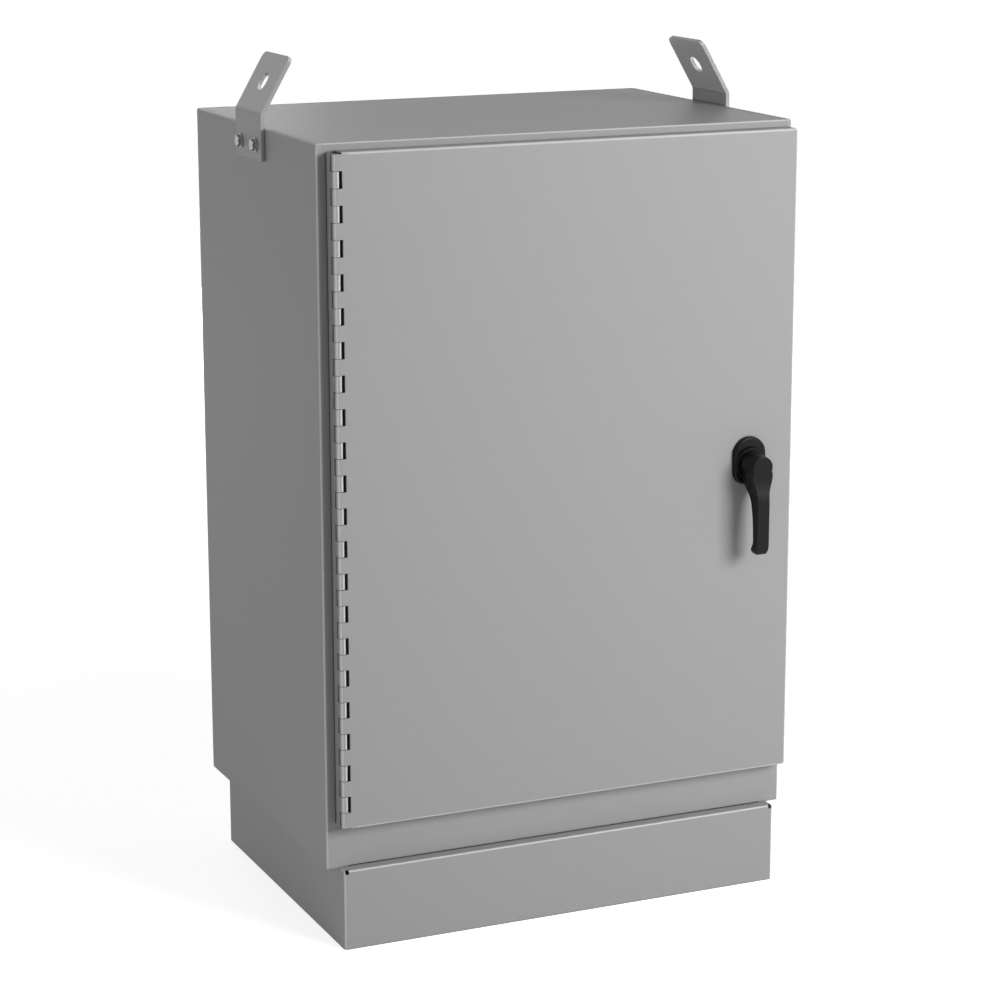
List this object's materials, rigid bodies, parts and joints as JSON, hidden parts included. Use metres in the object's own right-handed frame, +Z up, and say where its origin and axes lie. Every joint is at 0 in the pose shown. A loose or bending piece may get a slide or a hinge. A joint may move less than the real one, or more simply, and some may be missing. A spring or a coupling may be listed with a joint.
{
  "type": "traffic signal controller cabinet",
  "caption": "Free-standing sheet-steel equipment cabinet with a hinged gasketed front door, lever handle with a three-point latch, lifting brackets and a recessed plinth.",
  "frame": {"origin": "centre of the anchor-bolt pattern on the underside of the plinth, at floor level", "axes": "+X to the right seen from the front, +Y to the back, +Z up; the door faces -Y"},
  "size_m": [0.8292, 0.6426, 1.366],
  "materials": {
    "grey_paint": "light grey enamel with a fine orange peel",
    "white_paint": "white enamel on the inner fittings",
    "zinc_steel": "zinc plate, slightly dull",
    "black_enamel": "black enamel on a cast handle, satin",
    "seal_rubber": "closed-cell sealing foam, matt",
    "nylon": "natural nylon",
    "pocket_plastic": "grey moulded plastic",
    "copper": "bare copper bar",
    "post_plastic": "red moulded insulator"
  },
  "bodies": {
    "cabinet": {"side_wrapper": "grey_paint", "roof_panel": "grey_paint", "floor_panel": "grey_paint", "opening_collar": "grey_paint", "plinth": "grey_paint", "lifting_bracket_left": "grey_paint", "lifting_bracket_right": "grey_paint", "hinge_fixed_leaf": "grey_paint", "mounting_panel": "white_paint", "lower_shelf": "white_paint", "upper_shelf": "white_paint", "gland_plate": "white_paint", "plinth_bolts": "zinc_steel", "plinth_nuts": "zinc_steel", "lifting_bolts": "zinc_steel", "lifting_washers": "zinc_steel", "lifting_nuts": "zinc_steel", "hinge_pin": "zinc_steel", "panel_studs": "zinc_steel", "panel_nuts": "zinc_steel", "rail_left_front": "zinc_steel", "rail_left_rear": "zinc_steel", "rail_right_front": "zinc_steel", "rail_right_rear": "zinc_steel", "shelf_screws": "zinc_steel", "shelf_nuts": "zinc_steel", "gland_screws": "zinc_steel", "earth_screws": "zinc_steel", "gland_gasket": "seal_rubber", "earth_bar": "copper", "earth_posts": "post_plastic"},
    "door": {"door_panel": "grey_paint", "hinge_door_leaf": "grey_paint", "door_gasket": "seal_rubber", "door_stiffener_left": "white_paint", "door_stiffener_right": "white_paint", "data_pocket": "pocket_plastic", "escutcheon": "black_enamel", "sleeve_nut": "zinc_steel", "upper_rod_guide": "zinc_steel", "lower_rod_guide": "zinc_steel"},
    "handle": {"handle_lever": "black_enamel", "handle_shaft": "zinc_steel", "latch_spacer": "zinc_steel", "latch_cam": "zinc_steel", "cam_clips": "zinc_steel"},
    "upper_rod": {"upper_rod": "zinc_steel", "upper_roller_pin": "zinc_steel"},
    "lower_rod": {"lower_rod": "zinc_steel", "lower_roller_pin": "zinc_steel"},
    "upper_roller": {"upper_roller": "nylon"},
    "lower_roller": {"lower_roller": "nylon"}
  },
  "joints": [
    {"name": "door_hinge", "type": "hinge", "parent": "cabinet", "child": "door", "pos_m": [-0.3788, -0.279, 0.724], "axis": [0, 0, -1], "range_deg": [0, 180]},
    {"name": "handle_turn", "type": "hinge", "parent": "door", "child": "handle", "pos_m": [0.3155, -0.29, 0.719], "axis": [0, 1, 0], "range_deg": [0, 90]},
    {"name": "upper_rod_slide", "type": "slide", "parent": "door", "child": "upper_rod", "axis": [0, 0, 1], "range_m": [0, 0.02263]},
    {"name": "lower_rod_slide", "type": "slide", "parent": "door", "child": "lower_rod", "axis": [0, 0, -1], "range_m": [0, 0.02263]},
    {"name": "upper_roller_spin", "type": "hinge", "parent": "upper_rod", "child": "upper_roller", "pos_m": [0.30184, -0.2409, 1.205], "axis": [1, 0, 0], "continuous": true},
    {"name": "lower_roller_spin", "type": "hinge", "parent": "lower_rod", "child": "lower_roller", "pos_m": [0.32916, -0.2409, 0.237], "axis": [1, 0, 0], "continuous": true}
  ],
  "couplings": [
    {"joint": "upper_rod_slide", "follows": "handle_turn", "m_per_rad": 0.014405},
    {"joint": "lower_rod_slide", "follows": "handle_turn", "m_per_rad": 0.014405}
  ]
}
